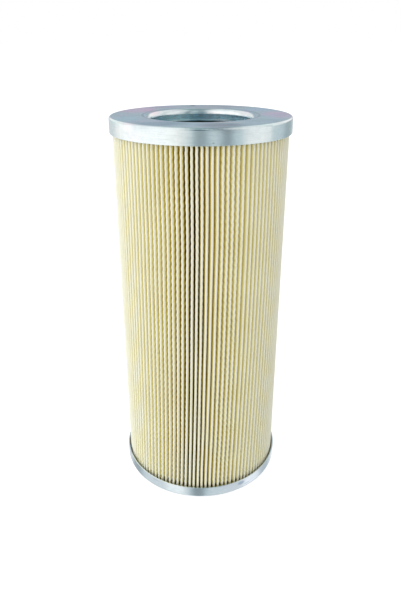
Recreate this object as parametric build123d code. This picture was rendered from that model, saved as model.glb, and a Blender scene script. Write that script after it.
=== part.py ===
from build123d import *
import os
from math import asin, atan2, cos, exp, pi, radians, sin, sqrt

# Pleated filter element: corrugated paper folded into a ring, a perforated
# tube inside it, and a drawn sheet-steel cap bonded on each end.
# Millimetres and degrees. +Z runs up the axis, from the closed lower cap
# (outer face at z = 0) to the open upper cap. Angles about the axis start at
# the -Y side and grow counter-clockwise as seen from above.

# ---- driving dimensions -------------------------------------------------
HEIGHT = 224.4            # outer face of one cap to outer face of the other
CAP_D = 100.0             # outer diameter of both caps
SHEET = 0.8               # cap sheet thickness
UPPER_RIM = 8.6           # depth of the upper cap's rim, over its face
LOWER_RIM = 7.3           # depth of the lower cap's rim, over its face
UPPER_EDGE_R = 1.35       # drawn radius between face and rim, outside
LOWER_EDGE_R = 1.4
EDGE_BREAK = 0.12         # trimmed edges of the sheet

BORE_D = 57.0             # outlet bore, inside the collar
BORE_BEND_R = 3.0         # outside radius where the face rolls into the collar
COLLAR_DEPTH = 7.0        # upper face to the collar's lower edge

PLEATS = 115
PAPER = 0.55              # paper thickness over its fine corrugation
OUTER_FOLD_RADIUS = 48.44 # pleat tips, from the axis
INNER_FOLD_RADIUS = 30.6  # pleat roots, from the axis
TIP_R = 0.72              # outside radius of the fold at a pleat tip
ROOT_R = 0.60             # outside radius of the fold at a pleat root
LEAN = -3.8               # roots lag the tips by this angle: the pleats lie over
FIRST_TIP = 0.65          # angle of the tip nearest the -Y side
# The folds are not evenly spread. Each entry is (place, width, extra), the
# first two counted in pleats from the one at the -Y side, the last in degrees.
SPREAD = [
    (-0.3, 2.0, -0.19), (9.0, 1.0, 0.38), (-17.9, 1.0, 0.60), (15.0, 10.0, 0.15),
    (31.0, 4.0, -0.18), (41.0, 1.5, 0.35), (51.0, 3.0, -0.10),
    (-29.0, 3.0, -0.15), (-38.0, 1.2, 0.40), (-47.0, 4.0, 0.12),
]
SEAM_EXTRA = 0.95         # the two pleats beside the side seam stand further apart
SEAM_GAP = 0.70           # width of the bead between the joined flanks, at the root
SEAM_BEAD = 6.0           # height of the bead, from the roots outwards

BED_DEPTH = 3.0           # cured adhesive in each cap's channel
BED_UNDER = 1.0           # adhesive between a cap and the ends of the pleats
LOWER_BED_INNER_R = 27.6

TUBE_ID = 58.8            # core tube, over the collar with a little play
TUBE_WALL = 0.8
TUBE_TOP_GAP = 2.6        # top of the tube below the upper face
TUBE_SLIT = 0.4           # butt joint of the rolled tube, at the +Y side
HOLE_D = 8.0
HOLES_AROUND = 12
HOLE_ROWS = 16
HOLE_ROW_PITCH = 13.2

# ---- derived ------------------------------------------------------------
R = CAP_D / 2
RI = R - SHEET
BORE_R = BORE_D / 2
MEDIA_LOW = SHEET + BED_UNDER
MEDIA_HIGH = HEIGHT - SHEET - BED_UNDER


def around(radius, angle):
    """A point at this angle about the axis, counted from the -Y side."""
    return (radius * sin(radians(angle)), -radius * cos(radians(angle)))


def arc(centre, radius, start, end):
    """An arc in the r-z plane, with its angles in degrees from +r."""
    def at(a):
        return (centre[0] + radius * cos(radians(a)), centre[1] + radius * sin(radians(a)))
    return at(start), at((start + end) / 2), at(end)


def turned(*steps):
    """A solid of revolution about Z. Each step is a corner (r, z), or an arc's three points."""
    edges, first, last = [], None, None
    for step in steps:
        begin = step if isinstance(step[0], (int, float)) else step[0]
        if last is None:
            first = begin
        elif max(abs(last[0] - begin[0]), abs(last[1] - begin[1])) > 1e-9:
            edges.append(Edge.make_line((last[0], 0, last[1]), (begin[0], 0, begin[1])))
        last = begin
        if begin is not step:
            a, b, c = step
            edges.append(Edge.make_three_point_arc((a[0], 0, a[1]), (b[0], 0, b[1]), (c[0], 0, c[1])))
            last = c
    edges.append(Edge.make_line((last[0], 0, last[1]), (first[0], 0, first[1])))
    return revolve(Face(Wire(edges)), axis=Axis.Z, revolution_arc=360)


# ---- end caps -----------------------------------------------------------
def make_upper_cap():
    """Flat ring, rim turned down outside, collar rolled down inside."""
    h, e = HEIGHT, EDGE_BREAK
    edge_z = h - UPPER_EDGE_R
    edge_c = (R - UPPER_EDGE_R, edge_z)
    bend_c = (BORE_R + BORE_BEND_R, h - BORE_BEND_R)
    rim_z, collar_z = h - UPPER_RIM, h - COLLAR_DEPTH
    return turned(
        (R - e, rim_z), (R, rim_z + e),
        arc(edge_c, UPPER_EDGE_R, 0, 90),
        arc(bend_c, BORE_BEND_R, 90, 180),
        (BORE_R, collar_z + e), (BORE_R + e, collar_z),
        (BORE_R + SHEET - e, collar_z), (BORE_R + SHEET, collar_z + e),
        arc(bend_c, BORE_BEND_R - SHEET, 180, 90),
        arc(edge_c, UPPER_EDGE_R - SHEET, 90, 0),
        (RI, rim_z + e), (RI + e, rim_z),
    )


def make_lower_cap():
    """Closed disc with its rim turned up."""
    e = EDGE_BREAK
    edge_c = (R - LOWER_EDGE_R, LOWER_EDGE_R)
    return turned(
        (0, 0),
        arc(edge_c, LOWER_EDGE_R, -90, 0),
        (R, LOWER_RIM - e), (R - e, LOWER_RIM),
        (RI + e, LOWER_RIM), (RI, LOWER_RIM - e),
        arc(edge_c, LOWER_EDGE_R - SHEET, 0, -90),
        (0, SHEET),
    )


# ---- core tube ----------------------------------------------------------
def make_core_tube():
    """Perforated sheet rolled into a tube, with an open butt joint."""
    low, high = MEDIA_LOW, HEIGHT - TUBE_TOP_GAP
    r = TUBE_ID / 2
    tube = turned((r, low), (r + TUBE_WALL, low), (r + TUBE_WALL, high), (r, high))
    first_row = (low + high - (HOLE_ROWS - 1) * HOLE_ROW_PITCH) / 2
    cutters = []
    for row in range(HOLE_ROWS):
        z = first_row + row * HOLE_ROW_PITCH
        for n in range(HOLES_AROUND):
            angle = 360 / HOLES_AROUND * (n + 0.5 * (row % 2 == 0))
            if abs(angle - 180) < 1:      # the plain margin along the joint
                continue
            x, y = around(1, angle)
            cutters.append(
                Plane(origin=(x * (r - 2), y * (r - 2), z), z_dir=(x, y, 0))
                * Cylinder(HOLE_D / 2, 5, align=(Align.CENTER, Align.CENTER, Align.MIN))
            )
    slit = Pos(0, r, (low + high) / 2) * Box(TUBE_SLIT, 6, high - low + 2)
    return tube - cutters - slit


# ---- pleated paper ------------------------------------------------------
def tip_angles():
    """The angle of each pleat tip, the side seam between the last and the first."""
    half = PLEATS // 2
    pitches = [
        1 + sum(extra / (360 / PLEATS) * exp(-(((k + 1 - place) / width) ** 2)) for place, width, extra in SPREAD)
        for k in range(-half, half)
    ]
    scale = (360 - 360 / PLEATS - SEAM_EXTRA) / sum(pitches)
    angles = [0.0]
    for p in pitches:
        angles.append(angles[-1] + p * scale)
    shift = FIRST_TIP - angles[half]
    return [a + shift for a in angles]


def unit(angle):
    return cos(angle), sin(angle)


def tangent(a, b, reach, crossing):
    """Direction of the line that leaves circle a and meets circle b on its other
    side, where reach is the two radii together. crossing is +1 from a tip to a
    root and -1 from a root to a tip."""
    dx, dy = b[0] - a[0], b[1] - a[1]
    return atan2(dy, dx) + crossing * asin(reach / sqrt(dx * dx + dy * dy))


def pleat_paths():
    """The circle centres of the folds in order, from one side of the seam to the
    other, and the direction of the flank between each pair."""
    tips = tip_angles()
    seam = (tips[-1] + tips[0] + 360) / 2
    centres = []
    for k, t in enumerate(tips):
        before = seam - 360 if k == 0 else (tips[k - 1] + t) / 2
        centres.append(("root", around(INNER_FOLD_RADIUS + ROOT_R, before + LEAN)))
        centres.append(("tip", around(OUTER_FOLD_RADIUS - TIP_R, t)))
    centres.append(("root", around(INNER_FOLD_RADIUS + ROOT_R, seam + LEAN)))
    directions = []
    for i in range(len(centres) - 1):
        ends = i in (0, len(centres) - 2)
        reach = TIP_R + (SEAM_GAP / 2 if ends else ROOT_R - PAPER)
        directions.append(tangent(centres[i][1], centres[i + 1][1], reach, 1 if centres[i][0] == "tip" else -1))
    return centres, directions


def side_of(centres, directions, outside):
    """One surface of the paper, as (point, arc middle or None) corners."""
    tip_r = TIP_R if outside else TIP_R - PAPER
    root_r = ROOT_R - PAPER if outside else ROOT_R
    seam_r = SEAM_GAP / 2 if outside else SEAM_GAP / 2 + PAPER

    def on(i, angle):
        kind, c = centres[i]
        nx, ny = unit(angle + pi / 2)
        if kind == "tip":
            return c[0] - tip_r * nx, c[1] - tip_r * ny
        r = seam_r if i in (0, len(centres) - 1) else root_r
        return c[0] + r * nx, c[1] + r * ny

    parts = []
    for i, d in enumerate(directions):
        parts.append((on(i, d), None, on(i + 1, d)))
        if i + 1 < len(directions):
            turn = (directions[i + 1] - d) % (2 * pi)
            if centres[i + 1][0] == "root":
                turn -= 2 * pi
            parts.append((on(i + 1, d), on(i + 1, d + turn / 2), on(i + 1, d + turn)))
    return parts


def edge_of(part):
    a, middle, b = part
    if middle is None:
        return Edge.make_line((*a, 0), (*b, 0))
    return Edge.make_three_point_arc((*a, 0), (*middle, 0), (*b, 0))


def make_media():
    """The folded sheet, cut square at both ends of the fold and at the seam."""
    centres, directions = pleat_paths()
    outer = side_of(centres, directions, True)
    inner = side_of(centres, directions, False)
    edges = [edge_of(p) for p in outer]
    edges.append(Edge.make_line((*outer[-1][2], 0), (*inner[-1][2], 0)))
    edges += [edge_of(p) for p in reversed(inner)]
    edges.append(Edge.make_line((*inner[0][0], 0), (*outer[0][0], 0)))
    profile = Face(Wire(edges))
    length = sum(sqrt((a[0] - b[0]) ** 2 + (a[1] - b[1]) ** 2) for a, m, b in outer if m is None)
    print("flat length of the flanks, mm:", round(length, 1))
    return Pos(0, 0, MEDIA_LOW) * extrude(profile, MEDIA_HIGH - MEDIA_LOW, dir=(0, 0, 1))


def make_side_seam():
    """Adhesive bead in the groove between the first and the last flank."""
    centres, directions = pleat_paths()
    outer = side_of(centres, directions, True)
    first_root, last_root = outer[0][0], outer[-1][2]
    first_up = tuple(p + SEAM_BEAD * c for p, c in zip(first_root, unit(directions[0])))
    last_up = tuple(p - SEAM_BEAD * c for p, c in zip(last_root, unit(directions[-1])))

    def bulge(a, b, by):
        mx, my = (a[0] + b[0]) / 2, (a[1] + b[1]) / 2
        n = sqrt(mx * mx + my * my)
        return mx * (1 + by / n), my * (1 + by / n)

    face = Face(Wire([
        Edge.make_line((*last_root, 0), (*last_up, 0)),
        Edge.make_three_point_arc((*last_up, 0), (*bulge(last_up, first_up, -0.25), 0), (*first_up, 0)),
        Edge.make_line((*first_up, 0), (*first_root, 0)),
        Edge.make_three_point_arc((*first_root, 0), (*bulge(first_root, last_root, -0.22), 0), (*last_root, 0)),
    ]))
    return Pos(0, 0, MEDIA_LOW) * extrude(face, MEDIA_HIGH - MEDIA_LOW, dir=(0, 0, 1))


# ---- adhesive beds ------------------------------------------------------
def make_upper_bed(*set_in_it):
    """Fills the upper cap's channel, from the tube's wall to the rim."""
    h = HEIGHT
    tube_r = TUBE_ID / 2 + TUBE_WALL
    bend_c = (BORE_R + BORE_BEND_R, h - BORE_BEND_R)
    under = BORE_BEND_R - SHEET
    begin = atan2(sqrt(under ** 2 - (bend_c[0] - tube_r) ** 2), tube_r - bend_c[0]) * 180 / pi
    low = h - SHEET - BED_DEPTH
    bed = turned(
        (tube_r, low),
        arc(bend_c, under, begin, 90),
        arc((R - UPPER_EDGE_R, h - UPPER_EDGE_R), UPPER_EDGE_R - SHEET, 90, 0),
        (RI, low),
    )
    for piece in set_in_it:
        bed = bed - piece
    return bed


def make_lower_bed(*set_in_it):
    """Ring of adhesive on the lower cap, under and around the paper and the tube."""
    high = SHEET + BED_DEPTH
    r = LOWER_BED_INNER_R
    bed = turned(
        (r, SHEET),
        arc((R - LOWER_EDGE_R, LOWER_EDGE_R), LOWER_EDGE_R - SHEET, -90, 0),
        (RI, high),
        arc((r + 1.2, high - 1.2), 1.2, 90, 180),
    )
    for piece in set_in_it:
        bed = bed - piece
    return bed


# ---- build and write ----------------------------------------------------
media = make_media()
side_seam = make_side_seam()
core_tube = make_core_tube()

pieces = {
    "upper_end_cap": make_upper_cap(),
    "lower_end_cap": make_lower_cap(),
    "pleated_media": media,
    "media_side_seam": side_seam,
    "core_tube": core_tube,
    "upper_adhesive_bed": make_upper_bed(media, side_seam),
    "lower_adhesive_bed": make_lower_bed(media, side_seam, core_tube),
}

os.makedirs("parts", exist_ok=True)
for name, piece in pieces.items():
    solids = piece.solids()
    shape = solids[0] if len(solids) == 1 else piece
    shape.label = name
    box = shape.bounding_box()
    print(f"{name}: {len(solids)} solid(s), {shape.volume:.1f} mm3, z {box.min.Z:.2f} to {box.max.Z:.2f}")
    export_step(shape, f"parts/{name}.step")
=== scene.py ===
import math
import random

import bpy
import numpy as np
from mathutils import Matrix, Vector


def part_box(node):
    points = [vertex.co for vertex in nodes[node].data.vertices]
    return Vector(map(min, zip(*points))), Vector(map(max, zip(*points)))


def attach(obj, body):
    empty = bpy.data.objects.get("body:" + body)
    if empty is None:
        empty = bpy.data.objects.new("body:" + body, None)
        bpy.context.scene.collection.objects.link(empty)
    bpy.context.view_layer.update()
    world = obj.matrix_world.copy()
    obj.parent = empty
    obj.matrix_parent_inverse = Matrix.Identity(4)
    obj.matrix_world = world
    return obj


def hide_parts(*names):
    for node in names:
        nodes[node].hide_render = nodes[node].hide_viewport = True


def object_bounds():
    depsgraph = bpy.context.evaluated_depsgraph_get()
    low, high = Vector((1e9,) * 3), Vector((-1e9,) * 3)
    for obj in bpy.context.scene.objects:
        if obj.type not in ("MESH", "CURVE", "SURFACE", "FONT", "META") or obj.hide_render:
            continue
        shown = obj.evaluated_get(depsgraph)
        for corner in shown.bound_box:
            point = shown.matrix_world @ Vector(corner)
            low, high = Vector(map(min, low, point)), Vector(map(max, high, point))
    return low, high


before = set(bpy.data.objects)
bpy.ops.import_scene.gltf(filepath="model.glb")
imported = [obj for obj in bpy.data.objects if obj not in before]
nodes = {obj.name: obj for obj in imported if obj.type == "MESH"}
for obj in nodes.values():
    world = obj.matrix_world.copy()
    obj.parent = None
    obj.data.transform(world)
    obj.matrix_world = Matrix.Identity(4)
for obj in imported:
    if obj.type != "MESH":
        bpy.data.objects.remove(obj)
cad_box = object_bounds()
scene = bpy.context.scene
MM = 0.001


# ---------------------------------------------------------------- node helper
class Nodes:
    """A few shorthands for building a node tree."""

    def __init__(self, tree):
        self.tree = tree
        tree.nodes.clear()

    def new(self, kind, **settings):
        n = self.tree.nodes.new(kind)
        for k, v in settings.items():
            setattr(n, k, v)
        return n

    def put(self, socket, value):
        if isinstance(value, bpy.types.NodeSocket):
            self.tree.links.new(value, socket)
        elif isinstance(value, (tuple, list)) and len(value) == 3 and socket.type == "RGBA":
            socket.default_value = (*value, 1)
        else:
            socket.default_value = value

    def math(self, op, a, b=None, c=None, clamp=False):
        n = self.new("ShaderNodeMath", operation=op, use_clamp=clamp)
        for i, v in enumerate((a, b, c)):
            if v is not None:
                self.put(n.inputs[i], v)
        return n.outputs[0]

    def vmath(self, op, a, b=None):
        n = self.new("ShaderNodeVectorMath", operation=op)
        self.put(n.inputs[0], a)
        if b is not None:
            self.put(n.inputs[1], b)
        return n.outputs["Value"] if op in ("DOT_PRODUCT", "LENGTH") else n.outputs["Vector"]

    def split(self, v):
        n = self.new("ShaderNodeSeparateXYZ")
        self.put(n.inputs[0], v)
        return n.outputs

    def join(self, x, y, z):
        n = self.new("ShaderNodeCombineXYZ")
        for i, v in enumerate((x, y, z)):
            self.put(n.inputs[i], v)
        return n.outputs[0]

    def step(self, value, low, high, to_low=0.0, to_high=1.0, kind="SMOOTHSTEP"):
        n = self.new("ShaderNodeMapRange", interpolation_type=kind, clamp=True) if kind == "LINEAR" else self.new("ShaderNodeMapRange", interpolation_type=kind)
        for name, v in (("Value", value), ("From Min", low), ("From Max", high), ("To Min", to_low), ("To Max", to_high)):
            self.put(n.inputs[name], v)
        return n.outputs["Result"]

    def band(self, value, low, high, soft):
        """1 between low and high, with soft edges."""
        up = self.step(value, low - soft, low + soft)
        down = self.step(value, high - soft, high + soft, 1.0, 0.0)
        return self.math("MULTIPLY", up, down)

    def noise(self, vector, scale, detail=2.0, rough=0.5, distortion=0.0, out="Fac"):
        n = self.new("ShaderNodeTexNoise")
        self.put(n.inputs["Vector"], vector)
        self.put(n.inputs["Scale"], scale)
        self.put(n.inputs["Detail"], detail)
        self.put(n.inputs["Roughness"], rough)
        self.put(n.inputs["Distortion"], distortion)
        return n.outputs[out]

    def mix(self, fac, a, b, blend="MIX"):
        n = self.new("ShaderNodeMix", data_type="RGBA", blend_type=blend)
        self.put(n.inputs[0], fac)
        self.put(n.inputs[6], a)
        self.put(n.inputs[7], b)
        return n.outputs[2]

    def ramp(self, fac, stops, interpolation="LINEAR"):
        n = self.new("ShaderNodeValToRGB")
        n.color_ramp.interpolation = interpolation
        while len(n.color_ramp.elements) < len(stops):
            n.color_ramp.elements.new(0.5)
        for e, (at, colour) in zip(n.color_ramp.elements, stops):
            e.position = at
            e.color = (*colour, 1)
        self.put(n.inputs[0], fac)
        return n.outputs[0]

    def bump(self, height, strength, distance, normal=None):
        n = self.new("ShaderNodeBump")
        self.put(n.inputs["Height"], height)
        self.put(n.inputs["Strength"], strength)
        self.put(n.inputs["Distance"], distance)
        if normal is not None:
            self.put(n.inputs["Normal"], normal)
        return n.outputs[0]


def new_material(name):
    m = bpy.data.materials.new(name)
    m.use_nodes = True
    n = Nodes(m.node_tree)
    shader = n.new("ShaderNodeBsdfPrincipled")
    out = n.new("ShaderNodeOutputMaterial")
    m.node_tree.links.new(shader.outputs[0], out.inputs["Surface"])
    return m, n, shader


# ---------------------------------------------------------------- sizes
low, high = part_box("pleated_media")
Z_LOW, Z_HIGH = low.z / MM, high.z / MM
TOP = cad_box[1][2] / MM
PLEATS = 115
PAPER = 0.55
R_TIP = high.x / MM
R_ROOT = 30.6
TIP_R, ROOT_R = 0.66, 0.60
LEAN = -3.12
SEAM_GAP, SEAM_EXTRA, SEAM_BEAD = 0.70, 0.95, 6.0
FIRST_TIP = 0.65
SPREAD = [
    (-0.3, 2.0, -0.19), (9.0, 1.0, 0.38), (-17.9, 1.0, 0.60), (15.0, 10.0, 0.15),
    (31.0, 4.0, -0.18), (41.0, 1.5, 0.35), (51.0, 3.0, -0.10),
    (-29.0, 3.0, -0.15), (-38.0, 1.2, 0.40), (-47.0, 4.0, 0.12),
]
RIPPLE = 3.955            # corrugation, crest to crest
RIPPLE_TIP = 0.11         # sideways swing at the pleat tips
RIPPLE_FLANK = 0.19
TURN_AT = (-60, -40, -20, -10, 0, 10, 20, 40, 60)
TURN = [                  # height, and the pack's turn there at these angles
    (222, (-0.22, -0.11, -0.11, -0.06, -0.00, -0.00, -0.00, 0.11, 0.27)),
    (204, (-0.41, -0.21, -0.21, -0.11, -0.01, -0.01, -0.01, 0.19, 0.49)),
    (184, (-0.63, -0.43, -0.13, -0.03, 0.17, 0.27, 0.27, 0.27, 0.77)),
    (164, (-0.77, -0.57, -0.07, 0.03, 0.23, 0.33, 0.23, 0.13, 0.73)),
    (144, (-1.30, -1.10, -0.30, -0.20, 0.00, 0.00, 0.00, -0.20, 0.50)),
    (124, (-1.52, -1.52, -0.62, -0.32, -0.22, -0.32, -0.22, -0.52, -0.12)),
    (103, (-1.85, -1.85, -1.35, -0.75, -0.45, -0.45, -0.45, -0.85, -0.75)),
    (83, (-2.38, -2.18, -1.78, -1.38, -0.98, -0.78, -0.68, -1.38, -0.98)),
    (63, (-2.91, -2.61, -2.11, -1.91, -1.61, -1.41, -1.21, -1.81, -1.51)),
    (43, (-3.33, -3.33, -2.43, -2.33, -2.03, -1.93, -1.73, -2.43, -2.63)),
    (22, (-4.17, -3.87, -3.17, -2.97, -2.67, -2.67, -2.47, -3.27, -3.37)),
    (2, (-4.91, -4.34, -3.82, -3.53, -3.23, -3.32, -3.12, -4.01, -4.02)),
]
CRESTS = [                # angle, how marked the corrugation is there, and where its crests lie
    (-56, 0.80, -176), (-42, 0.80, -152), (-36, 0.95, -137), (-30, 1.05, -122), (-23.6, 1.0, -91),
    (-17.5, 1.0, -55), (-11, 1.0, -32), (-5, 0.8, -12), (1, 0.6, 0), (4, 0.3, 5), (6.6, 0.05, 30),
    (9.8, 0.4, 211), (13, 0.85, 208), (16, 1.15, 206), (22.5, 1.3, 217), (25.6, 0.85, 226),
    (29, 0.05, 240), (32, 0.55, 79), (35, 0.75, 60), (42, 0.9, 72), (45, 0.35, 41), (48, 0.7, -28), (56, 0.9, -80),
]
COARSE = 56               # rows
FINE = COARSE * 5
DEEP = 2.4                # depth of the finely divided band of each flank


# ---------------------------------------------------------------- materials
def paper_material():
    """Cream, resin-treated filter paper: matt and fibrous, its colour carrying painted shade from cream at the crests
    to dark brown deep in the folds.
    """
    m, n, s = new_material("filter_paper")
    at = n.new("ShaderNodeTexCoord").outputs["Object"]
    x, y, z = n.split(at)
    mottle = n.noise(at, 55.0, 3.0, 0.55)
    streak = n.noise(n.join(x, y, n.math("MULTIPLY", z, 0.12)), 420.0, 2.0, 0.5)
    fibre = n.noise(n.join(x, y, n.math("MULTIPLY", z, 0.45)), 2600.0, 3.0, 0.65)
    radius = n.vmath("LENGTH", n.join(x, y, 0.0))
    depth = n.math("SUBTRACT", R_TIP * MM, radius)
    uneven = n.step(streak, 0.3, 0.7, -0.00012, 0.00012, "LINEAR")
    t = n.math("DIVIDE", n.math("ADD", depth, uneven), 0.018, clamp=True)
    # Painted shade: the colour darkens with depth into the folds, cream at the crests, straw on the flanks, dark brown
    # deep inside.
    colour = n.ramp(t, [
        (0.0, (0.885, 0.892, 0.785)), (0.008, (0.885, 0.888, 0.773)), (0.020, (0.882, 0.872, 0.690)),
        (0.036, (0.885, 0.850, 0.545)), (0.060, (0.900, 0.850, 0.460)), (0.11, (0.910, 0.850, 0.385)),
        (0.22, (0.905, 0.825, 0.275)), (0.34, (0.800, 0.660, 0.125)), (0.50, (0.430, 0.265, 0.050)),
        (0.68, (0.190, 0.085, 0.045)), (0.955, (0.080, 0.030, 0.036)), (0.972, (0.080, 0.030, 0.036)),
        (0.985, (0.500, 0.440, 0.300)),
    ])
    colour = n.mix(n.step(mottle, 0.3, 0.7, 0.0, 1.0), colour, (0.975, 0.965, 0.92), "MULTIPLY")
    colour = n.mix(n.step(fibre, 0.52, 0.74, 0.0, 0.30), colour, (0.93, 0.86, 0.70), "MULTIPLY")
    # The fold shoulders are paler towards the bottom.
    paler_low_shoulders = n.math("MULTIPLY", n.step(z, 0.0, 0.14, 0.42, 0.0, "LINEAR"), n.band(t, 0.022, 0.085, 0.02))
    colour = n.mix(paler_low_shoulders, colour, (0.885, 0.870, 0.650))
    # Adhesive drawn up into the folds where they leave the lower cap, with painted shade at the foot of the folds in
    # the same darkening.
    soak_and_shade = n.math("SUBTRACT", n.math("MINIMUM", depth, 0.0022), n.math("MULTIPLY", n.math("SUBTRACT", z, 0.0056), 1.30))
    colour = n.mix(n.step(soak_and_shade, 0.00005, 0.00070), colour, (0.56, 0.48, 0.18), "MULTIPLY")
    # Painted shade: the deep folds darker towards the bottom.
    low_fold_shade = n.math("MULTIPLY", n.step(z, 0.02, 0.20, 0.9, 0.0, "LINEAR"), n.step(t, 0.15, 0.36))
    colour = n.mix(low_fold_shade, colour, (0.46, 0.34, 0.28), "MULTIPLY")
    # Painted shade: the whole sheet a little darker towards the bottom.
    colour = n.mix(n.step(z, 0.0, 0.16, 1.0, 0.0, "LINEAR"), colour, (0.975, 0.980, 0.985), "MULTIPLY")
    n.put(s.inputs["Base Color"], colour)
    n.put(s.inputs["Roughness"], n.step(fibre, 0.3, 0.7, 0.86, 0.96))
    s.inputs["Specular IOR Level"].default_value = 0.0
    b = n.bump(mottle, 0.25, 0.0004)
    b = n.bump(fibre, 0.35, 0.00006, b)
    n.put(s.inputs["Normal"], b)
    return m


def zinc_material(name, base, dark, tint=1.0, rough=0.18, grain=1.0, blots=(), rings=()):
    """Bright zinc plating over drawn sheet: teal-grey, clouded, with faint violet and pink films.

    A blot is (centre, half size, colour it multiplies by, depth), and a ring is
    (along r or z, middle, half width, colour), in millimetres.
    """
    m, n, s = new_material(name)
    at = n.new("ShaderNodeTexCoord").outputs["Object"]
    x, y, z = n.split(at)
    cloud = n.noise(at, 38.0, 3.0, 0.55, 0.4)
    patch = n.noise(n.vmath("ADD", at, (0.31, 0.12, 0.05)), 30.0, 2.0, 0.5, 0.6)
    fine = n.noise(at, 900.0, 3.0, 0.6)
    brush = n.noise(n.join(n.math("MULTIPLY", x, 0.16), n.math("MULTIPLY", y, 0.16), n.math("MULTIPLY", z, 5.0)), 620.0, 3.0, 0.62)
    colour = n.mix(n.step(cloud, 0.3, 0.72), base, dark)
    film = n.ramp(patch, [
        (0.28, (0.86, 1.02, 1.01)), (0.42, (0.96, 1.00, 1.00)), (0.54, (1.00, 1.00, 1.01)),
        (0.64, (1.09, 0.95, 1.03)), (0.72, (0.99, 0.97, 1.03)), (0.84, (0.90, 1.01, 1.04)),
    ])
    colour = n.mix(n.step(z, (TOP - 1.3) * MM, (TOP - 0.2) * MM, 0.3 * tint, tint), colour, film, "MULTIPLY")
    speckle = n.noise(at, 330.0, 2.0, 0.6)
    colour = n.mix(n.step(speckle, 0.35, 0.65, 0.0, 0.6 * grain), colour, (0.92, 0.925, 0.93), "MULTIPLY")
    # Inside the bore, on a cap's drawn inner edge and down the core tube, the metal is rougher, and its colour carries
    # painted shade and painted reflection: darker near x = 0, lighter and bluer towards the ends of the diameter and
    # most on the +X side, reaching higher up the wall at those ends.
    edge = n.math("ADD", z, n.step(n.math("ABSOLUTE", x), 0.016, 0.027, 0.0, -0.0014))
    inside = n.math("MULTIPLY", n.step(n.vmath("LENGTH", n.join(x, y, 0.0)), 0.0298, 0.0306, 1.0, 0.0), n.step(edge, (TOP - 6.5) * MM, (TOP - 2.6) * MM, 1.0, 0.0))
    above = n.step(z, 0.0078, 0.0084)
    inside = n.math("MULTIPLY", inside, above)
    bore_shade_and_reflection = n.mix(n.step(n.math("ABSOLUTE", x), 0.004, 0.010), (0.78, 0.92, 1.00), (0.96, 1.14, 1.20))
    bore_shade_and_reflection = n.mix(n.step(x, 0.006, 0.014), bore_shade_and_reflection, (1.12, 1.34, 1.42))
    colour = n.mix(inside, colour, bore_shade_and_reflection, "MULTIPLY")
    height = None
    if rings:
        radius = n.vmath("LENGTH", n.join(x, y, 0.0))
        for value, middle, half, shade in rings:
            ring = n.step(n.math("ABSOLUTE", n.math("SUBTRACT", radius if value == "r" else z, middle * MM)), half * 0.3 * MM, half * MM, 1.0, 0.0)
            ring = n.math("MULTIPLY", ring, n.step(radius, 0.030, 0.031, 1.0, 0.0) if value == "z" else above)
            colour = n.mix(ring, colour, shade, "MULTIPLY")
    for centre, size, shade, deep in blots:
        away = n.vmath("SUBTRACT", at, tuple(c * MM for c in centre))
        away = n.vmath("DIVIDE", away, tuple(v * MM for v in size))
        near = n.step(n.vmath("LENGTH", away), 0.35, 1.0, 1.0, 0.0)
        colour = n.mix(near, colour, shade, "MULTIPLY")
        if deep:
            pit = n.math("MULTIPLY", near, -deep)
            height = pit if height is None else n.math("ADD", height, pit)
    colour = n.mix(n.step(brush, 0.40, 0.68, 0.0, 0.5 * grain), colour, (0.88, 0.885, 0.90), "MULTIPLY")
    n.put(s.inputs["Base Color"], colour)
    s.inputs["Metallic"].default_value = 1.0
    r = n.math("ADD", n.step(cloud, 0.25, 0.75, rough * 0.85, rough * 1.25), n.step(brush, 0.35, 0.75, -0.02, 0.05))
    n.put(s.inputs["Roughness"], n.math("ADD", r, n.math("MULTIPLY", inside, 0.12)))
    wave = n.noise(at, 22.0, 1.0, 0.4)
    b = n.bump(wave, 0.25 * grain, 0.0012)
    b = n.bump(brush, 0.10 * grain, 0.00004, b)
    b = n.bump(fine, 0.10 * grain, 0.00002, b)
    if height is not None:
        b = n.bump(height, 1.0, 0.0004, b)
    n.put(s.inputs["Normal"], b)
    return m


def adhesive_material():
    m, n, s = new_material("adhesive")
    at = n.new("ShaderNodeTexCoord").outputs["Object"]
    flow = n.noise(at, 120.0, 3.0, 0.5)
    speck = n.noise(at, 1500.0, 2.0, 0.5)
    colour = n.ramp(flow, [(0.3, (0.27, 0.22, 0.08)), (0.6, (0.38, 0.31, 0.13))])
    n.put(s.inputs["Base Color"], n.mix(n.step(speck, 0.6, 0.75, 0.0, 0.4), colour, (0.46, 0.38, 0.20)))
    n.put(s.inputs["Roughness"], n.step(flow, 0.3, 0.7, 0.3, 0.5))
    n.put(s.inputs["Normal"], n.bump(flow, 0.4, 0.0005))
    return m


def on_rim(angle, z):
    a = math.radians(angle)
    return (50 * math.sin(a), -50 * math.cos(a), z)


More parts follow.
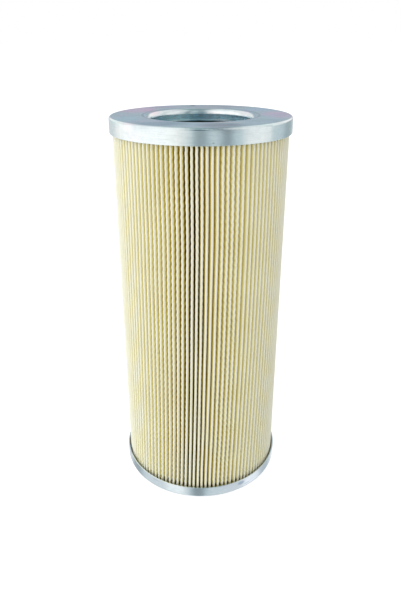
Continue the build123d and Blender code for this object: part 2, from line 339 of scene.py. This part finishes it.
cap_blots = [
    ((-37, 21, TOP), (16, 21, 9), (1.48, 0.84, 1.02), 0),         # violet films on the face
    ((-23, 36, TOP), (15, 9, 9), (1.00, 0.74, 0.88), 0),
    ((42, 0, TOP), (12, 21, 6), (1.50, 0.88, 1.06), 0),
    ((34, 23, TOP), (12, 12, 6), (0.96, 1.02, 1.14), 0),
    ((9, 38, TOP), (31, 11, 6), (0.80, 0.68, 0.72), 0),
    ((9, -41, TOP), (15, 11, 6), (0.58, 0.52, 0.56), 0),
    ((14, -31.8, TOP - 1), (12, 2.6, 4), (1.45, 0.92, 0.90), 0),
    ((-19, -36, TOP), (18, 10, 6), (0.62, 0.70, 0.77), 0),
    ((-38, -18, TOP), (11, 14, 6), (0.90, 1.10, 1.10), 0),
    ((-4.9, 45.0, TOP), (2.0, 7.0, 4), (0.38, 0.40, 0.44), 0),    # small marks of handling
    # Painted reflection: a dark streak high on the front of the upper rim.
    (on_rim(-0.5, TOP - 1.2), (5.6, 4, 0.30), (0.50, 0.54, 0.57), 0),
    # Small marks on the rims, two of them slightly pitted.
    (on_rim(6.8, TOP - 7.1), (0.6, 2, 0.5), (0.80, 0.78, 0.70), 0.1),
    (on_rim(30.5, 5.2), (3.4, 3, 1.9), (0.60, 0.66, 0.75), 0.05),
    (on_rim(36.0, 2.8), (3.6, 3, 1.0), (0.78, 0.83, 0.90), 0),
    (on_rim(-35.0, 5.6), (5.0, 3, 0.5), (0.76, 0.80, 0.86), 0),
]
cap_rings = [
    ("r", 31.8, 0.9, (0.70, 0.66, 0.70)),
    # Painted highlight: a bright band low on the inner wall of the cap's drawn collar.
    ("z", TOP - 6.5, 0.8, (1.60, 1.55, 1.45)),
]
# Painted shade: a dark band on the core tube just below the cap's drawn collar.
tube_shade_rings = [("z", TOP - 7.4, 2.0, (0.14, 0.12, 0.09))]
paper = paper_material()
cap_metal = zinc_material("cap_zinc", (0.69, 0.79, 0.80), (0.60, 0.71, 0.74), blots=cap_blots, rings=cap_rings)
core_metal = zinc_material("core_zinc", (0.60, 0.80, 0.88), (0.46, 0.64, 0.72), tint=0.5, rough=0.50, grain=1.5, rings=tube_shade_rings)
adhesive = adhesive_material()


def finish_node(name, material):
    o = nodes[name]
    o.data.materials.clear()
    o.data.materials.append(material)
    return o


finish_node("upper_end_cap", cap_metal)
finish_node("lower_end_cap", cap_metal)
finish_node("core_tube", core_metal)
finish_node("upper_adhesive_bed", adhesive)
finish_node("lower_adhesive_bed", adhesive)


# ---------------------------------------------------------------- pleated paper
# The same folds as in the CAD node, with the corrugation, the slight twist and
# the unevenness of the real sheet. Millimetres until the mesh is written.
def tip_angles():
    half = PLEATS // 2
    pitches = [
        1 + sum(extra / (360 / PLEATS) * math.exp(-(((k + 1 - place) / width) ** 2)) for place, width, extra in SPREAD)
        for k in range(-half, half)
    ]
    scale = (360 - 360 / PLEATS - SEAM_EXTRA) / sum(pitches)
    angles = [0.0]
    for p in pitches:
        angles.append(angles[-1] + p * scale)
    shift = FIRST_TIP - angles[half]
    return [a + shift for a in angles]


def around(radius, angle):
    return np.array((radius * math.sin(math.radians(angle)), -radius * math.cos(math.radians(angle))))


def unit(angle):
    return np.array((math.cos(angle), math.sin(angle)))


def tangent(a, b, reach, crossing):
    v = b - a
    return math.atan2(v[1], v[0]) + crossing * math.asin(reach / math.hypot(*v))


TIPS = tip_angles()
SEAM_ANGLE = (TIPS[-1] + TIPS[0] + 360) / 2
centres = []
for k, t in enumerate(TIPS):
    before = SEAM_ANGLE - 360 if k == 0 else (TIPS[k - 1] + t) / 2
    centres.append(around(R_ROOT + ROOT_R, before + LEAN))
    centres.append(around(R_TIP - TIP_R, t))
centres.append(around(R_ROOT + ROOT_R, SEAM_ANGLE + LEAN))
directions = []
for i in range(len(centres) - 1):
    at_seam = i in (0, len(centres) - 2)
    reach = TIP_R + (SEAM_GAP / 2 if at_seam else ROOT_R - PAPER)
    directions.append(tangent(centres[i], centres[i + 1], reach, 1 if i % 2 else -1))


def on_circle(i, angle, outside):
    """The paper's surface at fold i, where the sheet runs in this direction."""
    normal = unit(angle + math.pi / 2)
    if i % 2:
        return centres[i] - (TIP_R if outside else TIP_R - PAPER) * normal
    if i in (0, len(centres) - 1):
        return centres[i] + (SEAM_GAP / 2 if outside else SEAM_GAP / 2 + PAPER) * normal
    return centres[i] + (ROOT_R - PAPER if outside else ROOT_R) * normal


def turn_at(i):
    """Directions at the start, and the turn, of the fold at centre i."""
    if i == 0:
        return directions[0], 0.0
    if i == len(centres) - 1:
        return directions[-1], 0.0
    turn = (directions[i] - directions[i - 1]) % (2 * math.pi)
    return directions[i - 1], turn if i % 2 else turn - 2 * math.pi


rng = random.Random(11)
# Slow sideways wander of each tip along its height, shared in part by its neighbours.
waves = []
for harmonic in range(1, 6):
    for _ in range(2):
        waves.append((rng.uniform(0.5, 2.6) * (1 if rng.random() < 0.5 else -1), harmonic * rng.uniform(0.35, 0.8), rng.uniform(0, 2 * math.pi), 0.085 / harmonic ** 0.7))
own = [[(rng.uniform(0.6, 3.2), rng.uniform(0, 2 * math.pi), rng.gauss(0, 0.028)) for _ in range(3)] for _ in range(PLEATS)]
phase, swing = [], []
p = 0.0
for k in range(PLEATS):
    a = TIPS[k]
    p += math.radians(-10 + rng.gauss(0, 9))
    amount, start = 1 + rng.gauss(0, 0.22), p
    if CRESTS[0][0] <= a <= CRESTS[-1][0]:
        at = [c[0] for c in CRESTS]
        across = np.interp(a, at, [c[1] * math.cos(math.radians(c[2])) for c in CRESTS])
        along = np.interp(a, at, [c[1] * math.sin(math.radians(c[2])) for c in CRESTS])
        amount, start = math.hypot(across, along), math.atan2(along, across)
    phase.append(start)
    swing.append(amount)


def turn_of_pack(angle, z):
    """Turn of the pack at this place, in radians: it leans over towards the lower end."""
    angle = (angle + 180) % 360 - 180
    heights = np.array([row[0] for row in TURN[::-1]], float)
    turns = []
    for _, row in TURN[::-1]:
        behind = sum(row) / len(row)
        turns.append(np.interp(angle, (-110,) + TURN_AT + (110,), (behind,) + row + (behind,)))
    turns = np.array(turns)
    slope = np.gradient(turns, heights)
    i = np.clip(np.searchsorted(heights, z) - 1, 0, len(heights) - 2)
    h = heights[i + 1] - heights[i]
    t = (z - heights[i]) / h
    smooth = (
        (2 * t**3 - 3 * t**2 + 1) * turns[i] + (t**3 - 2 * t**2 + t) * h * slope[i]
        + (3 * t**2 - 2 * t**3) * turns[i + 1] + (t**3 - t**2) * h * slope[i + 1]
    )
    return np.radians(smooth)


def wander(k, z):
    t = (Z_HIGH - z) / (Z_HIGH - Z_LOW)
    ends = np.minimum(1, np.minimum(t, 1 - t) / 0.05)
    total = np.zeros_like(z)
    for across, along, start, size in waves:
        total += size * np.sin(across * math.radians(TIPS[k]) * 3 + 2 * np.pi * along * t + start)
    for along, start, size in own[k]:
        total += size * np.sin(2 * np.pi * along * t + start)
    return np.radians(total) * (0.4 + 0.6 * ends)


def ripple(k, z, amplitude, radius):
    amplitude = amplitude * np.interp(z, (196, 212), (1.0, 0.75))  # pressed flatter near the upper cap
    return amplitude * swing[k] / radius * np.cos(2 * np.pi * z / RIPPLE + phase[k])


def column(point, rows, k, tip_share, amplitude):
    """One column of vertices: a profile point carried up the sheet."""
    z = np.linspace(Z_LOW, Z_HIGH, rows + 1)
    radius = math.hypot(*point)
    angle = math.atan2(point[0], -point[1])
    angle = angle + turn_of_pack(math.degrees(angle), z)
    if tip_share:
        angle = angle + tip_share * wander(k, z)
    if amplitude:
        angle = angle + ripple(k, z, amplitude, radius)
    return np.column_stack((radius * np.sin(angle), -radius * np.cos(angle), z))


def sheet_piece(name, first, last):
    """Pleats first to last as one closed mesh."""
    verts, faces, total = [], [], 0

    def add(point, rows, k, tip_share=0.0, amplitude=0.0):
        nonlocal total
        c = column(point, rows, k, tip_share, amplitude)
        verts.append(c)
        ids = np.arange(total, total + rows + 1)
        total += rows + 1
        return ids

    def sew(a, b):
        """Faces between two columns, a before b along the sheet, seen from the outside."""
        if len(a) == len(b):
            faces.extend(np.column_stack((a[:-1], b[:-1], b[1:], a[1:])).tolist())
            return
        flip = len(a) < len(b)
        fine, coarse = (b, a) if flip else (a, b)
        n = (len(fine) - 1) // (len(coarse) - 1)
        for j in range(len(coarse) - 1):
            f = fine[j * n : j * n + n + 1]
            c0, c1 = coarse[j], coarse[j + 1]
            half = n // 2 + 1
            for i in range(half):
                faces.append([c0, f[i + 1], f[i]] if not flip else [c0, f[i], f[i + 1]])
            faces.append([c0, c1, f[half]] if not flip else [c0, f[half], c1])
            for i in range(half, n):
                faces.append([c1, f[i + 1], f[i]] if not flip else [c1, f[i], f[i + 1]])

    outer, inner = [], []
    for k in range(first, last + 1):
        left, tip, right = 2 * k, 2 * k + 1, 2 * k + 2
        start, turn = turn_at(left)
        if k == first:
            outer.append(add(on_circle(left, start + turn / 2, True), COARSE, k))
            if left == 0:
                inner.append(add(on_circle(left, start, False), COARSE, k))
            else:
                inner.append(add(on_circle(left, start + turn / 2, False), COARSE, k))
        if left:
            inner.append(add(on_circle(left, start + 0.75 * turn, False), COARSE, k))
            inner.append(add(on_circle(left, start + turn, False), COARSE, k))
        up, down = directions[left], directions[tip]
        start, turn = turn_at(tip)
        a, b = on_circle(tip, start, True), on_circle(tip, start + turn, True)
        outer.append(add(a - 8.0 * unit(up), COARSE, k, 0.55))
        outer.append(add(a - DEEP * unit(up), FINE, k, 0.88, RIPPLE_FLANK))
        for i in range(5):
            outer.append(add(on_circle(tip, start + turn * i / 4, True), FINE, k, 1.0, RIPPLE_TIP))
        outer.append(add(b + DEEP * unit(down), FINE, k, 0.88, RIPPLE_FLANK))
        outer.append(add(b + 8.0 * unit(down), COARSE, k, 0.55))
        ia, ib = on_circle(tip, start, False), on_circle(tip, start + turn, False)
        inner.append(add(ia - 8.0 * unit(up), COARSE, k, 0.55))
        inner.append(add(ia, COARSE, k, 1.0))
        inner.append(add(on_circle(tip, start + turn / 2, False), COARSE, k, 1.0))
        inner.append(add(ib, COARSE, k, 1.0))
        inner.append(add(ib + 8.0 * unit(down), COARSE, k, 0.55))
        start, turn = turn_at(right)
        outer.append(add(on_circle(right, start + turn / 2, True), COARSE, k))
        inner.append(add(on_circle(right, start, False), COARSE, k))
        if right != len(centres) - 1:
            inner.append(add(on_circle(right, start + 0.25 * turn, False), COARSE, k))
            inner.append(add(on_circle(right, start + 0.5 * turn, False), COARSE, k))
    for a, b in zip(outer, outer[1:]):
        sew(a, b)
    for a, b in zip(inner, inner[1:]):
        sew(b, a)
    sew(inner[0], outer[0])
    sew(outer[-1], inner[-1])
    # The sheet's two cut edges, lower and upper.
    ends = []
    for at in (0, -1):
        ring = [int(c[at]) for c in outer] + [int(c[at]) for c in reversed(inner)]
        ends.append(ring[::-1] if at == 0 else ring)
    mesh = bpy.data.meshes.new(name)
    points = np.vstack(verts) * MM
    mesh.from_pydata(points.tolist(), [], faces + ends)
    mesh.validate()
    mesh.update()
    mesh.shade_smooth()
    o = bpy.data.objects.new(name, mesh)
    scene.collection.objects.link(o)
    mesh.materials.append(paper)
    return o


cuts = [0, 29, 58, 87, PLEATS]
sheet_pieces = []
for i, side in enumerate(("left_back", "left_front", "right_front", "right_back")):
    o = sheet_piece("pleated_media_" + side, cuts[i], cuts[i + 1] - 1)
    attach(o, "root")
    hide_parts("pleated_media")
    sheet_pieces.append(o)


def side_seam():
    """The adhesive bead between the first and the last flank, with the sheet's twist."""
    first_root, last_root = on_circle(0, directions[0], True), on_circle(len(centres) - 1, directions[-1], True)
    up_first, up_last = first_root + SEAM_BEAD * unit(directions[0]), last_root - SEAM_BEAD * unit(directions[-1])
    profile = []
    for i in range(7):
        t = i / 6
        m = last_root * (1 - t) + first_root * t
        profile.append(m * (1 - 0.22 / math.hypot(*m) * math.sin(math.pi * t)))
    for i in range(7):
        t = i / 6
        m = up_first * (1 - t) + up_last * t
        profile.append(m * (1 - 0.25 / math.hypot(*m) * math.sin(math.pi * t)))
    cols = [column(p, COARSE, 0, 0.0, 0.0) for p in profile]
    n = len(cols)
    rows = COARSE + 1
    faces = []
    for i in range(n):
        a, b = i * rows, (i + 1) % n * rows
        for j in range(COARSE):
            faces.append([a + j, a + j + 1, b + j + 1, b + j])
    faces.append([i * rows for i in range(n)])
    faces.append([i * rows + COARSE for i in range(n)][::-1])
    mesh = bpy.data.meshes.new("side_seam_bead")
    mesh.from_pydata((np.vstack(cols) * MM).tolist(), [], faces)
    mesh.update()
    mesh.materials.append(adhesive)
    o = bpy.data.objects.new("side_seam_bead", mesh)
    scene.collection.objects.link(o)
    return o


bead = side_seam()
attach(bead, "root")
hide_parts("media_side_seam")


# ---------------------------------------------------------------- camera
camera = bpy.data.cameras.new("camera")
camera.sensor_width = 36.0
camera.lens = 554.338 / 601 * 36
camera.shift_x = -0.3765 / 601
camera.shift_y = -22.085 / 601
camera.clip_start = 0.01
camera.clip_end = 100
eye = bpy.data.objects.new("camera", camera)
scene.collection.objects.link(eye)
eye.location = (0, -6.2647 * 0.05, 5.2381 * 0.05)
eye.rotation_euler = (math.pi / 2 - 0.4069, 0, 0)
scene.camera = eye


# ---------------------------------------------------------------- stage and light
def make_world():
    """A studio, written as brightness by direction: what the metal mirrors, and what lights the paper."""
    world = bpy.data.worlds.new("studio")
    scene.world = world
    world.use_nodes = True
    n = Nodes(world.node_tree)
    d = n.vmath("NORMALIZE", n.new("ShaderNodeTexCoord").outputs["Generated"])
    x, y, z = n.split(d)
    az = n.math("MULTIPLY", n.math("ARCTAN2", x, n.math("MULTIPLY", y, -1.0)), 180 / math.pi)
    el = n.math("MULTIPLY", n.math("ARCSINE", z), 180 / math.pi)

    def lights(base, shapes):
        """Soft boxes and flags: from, soft edge, to, soft edge (azimuth), amount."""
        total = base
        for a0, s0, a1, s1, amount in shapes:
            up = n.step(az, a0 - s0, a0 + s0)
            down = n.step(az, a1 - s1, a1 + s1, amount, 0.0)
            total = n.math("ADD", n.math("MULTIPLY", up, down), total)
        return total

    level = lights(0.80, [
        (-123, 22, -26, 22, 0.56), (-9, 5, 7, 5, -0.36), (25, 5, 38, 5, -0.42),
        (54, 9, 95, 2, 0.30), (122, 9, 152, 8, -0.28),
    ])
    below = lights(0.84, [
        (-136, 8, -106, 8, -0.34), (-100, 12, -62, 10, 0.06), (-56, 9, -26, 8, 0.30), (-15, 6, 5, 4, -0.47),
        (10, 4, 20, 6, 0.06), (72, 6, 104, 4, 0.38), (108, 4, 136, 6, -0.20), (142, 6, 176, 6, 0.20),
    ])
    aside = n.math("MULTIPLY", n.step(n.math("ABSOLUTE", az), 96.0, 112.0), n.step(el, 2.0, 9.0))
    level = n.mix(aside, n.join(level, level, level), (1.08, 1.08, 1.08))
    tint = n.mix(n.step(below, 0.65, 1.05), (0.94, 1.0, 1.075), (1.04, 1.0, 1.02))
    below = n.mix(1.0, n.join(below, below, below), tint, "MULTIPLY")
    tint = n.mix(n.step(level, 0.60, 1.15), (0.90, 1.0, 1.045), (1.13, 1.03, 1.0))
    level = n.mix(1.0, level, tint, "MULTIPLY")
    mirror = n.mix(n.step(el, -34.0, -20.0), below, level)
    front = n.math("MULTIPLY", n.band(az, -20.0, 24.0, 12.0), n.band(el, 2.0, 40.0, 9.0))
    mirror = n.mix(n.math("MULTIPLY", front, 0.60), mirror, (0.20, 0.31, 0.36))
    over = n.math("ADD", n.step(x, -0.30, -0.06, 0.62, 0.0), n.step(x, 0.18, 0.42, 0.44, 0.92))
    over = n.mix(n.step(over, 0.4, 0.9), (0.78, 1.0, 1.05), (1.0, 1.0, 1.0))
    dome = n.math("ADD", n.step(x, -0.30, -0.06, 0.62, 0.0), n.step(x, 0.18, 0.42, 0.44, 0.92))
    mirror = n.mix(n.step(el, 46.0, 70.0), mirror, n.mix(1.0, n.join(dome, dome, dome), over, "MULTIPLY"))
    back = n.math("MULTIPLY", n.step(n.math("ABSOLUTE", az), 154.0, 169.0), n.step(el, -4.0, 5.0))
    mirror = n.mix(n.math("MULTIPLY", back, n.step(el, 36.0, 66.0, 1.0, 0.0)), mirror, (0.45, 0.52, 0.59))
    deep = n.math("MULTIPLY", n.step(n.math("ABSOLUTE", az), 160.0, 171.0), n.step(el, -9.0, 0.0, 1.0, 0.0))
    mirror = n.mix(n.math("MULTIPLY", deep, n.step(el, -34.0, -24.0)), mirror, (0.05, 0.09, 0.12))

    lamp = lights(1.0, [(-155, 20, 0, 24, 0.22), (-58, 12, -14, 6, 0.16), (14, 24, 98, 14, -0.19), (8, 8, 56, 16, -0.09)])
    facing = n.math("MULTIPLY", n.band(az, -15.0, 9.0, 6.0), n.step(n.math("ABSOLUTE", el), 28.0, 66.0, -0.70, 0.0))
    lamp = n.math("ADD", lamp, facing)

    def background(colour):
        node = n.new("ShaderNodeBackground")
        n.put(node.inputs["Color"], colour)
        return node.outputs[0]

    def pick(fac, a, b):
        node = n.new("ShaderNodeMixShader")
        for i, v in enumerate((fac, a, b)):
            world.node_tree.links.new(v, node.inputs[i])
        return node.outputs[0]

    ways = n.new("ShaderNodeLightPath")
    shade = pick(ways.outputs["Is Glossy Ray"], background(n.join(lamp, lamp, lamp)), background(mirror))
    shade = pick(ways.outputs["Is Camera Ray"], shade, background((1.0, 1.0, 1.0)))
    out = n.new("ShaderNodeOutputWorld")
    world.node_tree.links.new(shade, out.inputs["Surface"])
    world.cycles.sampling_method = "NONE"
    return world


make_world()

floor_mesh = bpy.data.meshes.new("floor")
side = 30.0
floor_mesh.from_pydata([(-side, -side, 0), (side, -side, 0), (side, side, 0), (-side, side, 0)], [], [(0, 1, 2, 3)])
floor = bpy.data.objects.new("floor", floor_mesh)
scene.collection.objects.link(floor)
floor.location.z = -0.0002
fm = bpy.data.materials.new("floor")
fm.use_nodes = True
fn = Nodes(fm.node_tree)
matt = fn.new("ShaderNodeBsdfDiffuse")
matt.inputs["Color"].default_value = (0.55, 0.55, 0.55, 1)
glow = fn.new("ShaderNodeEmission")
glow.inputs["Color"].default_value = (1, 1, 1, 1)
glow.inputs["Strength"].default_value = 0.66
both = fn.new("ShaderNodeAddShader")
fo = fn.new("ShaderNodeOutputMaterial")
fm.node_tree.links.new(matt.outputs[0], both.inputs[0])
fm.node_tree.links.new(glow.outputs[0], both.inputs[1])
fm.node_tree.links.new(both.outputs[0], fo.inputs["Surface"])
floor_mesh.materials.append(fm)
floor.visible_glossy = False
floor.visible_diffuse = False

scene.view_settings.view_transform = "Standard"
scene.view_settings.look = "None"
scene.view_settings.exposure = 0.0
scene.view_settings.gamma = 1.0
scene.cycles.max_bounces = 24
scene.cycles.diffuse_bounces = 20
scene.cycles.glossy_bounces = 6
scene.cycles.sample_clamp_indirect = 6.0

bpy.context.view_layer.update()
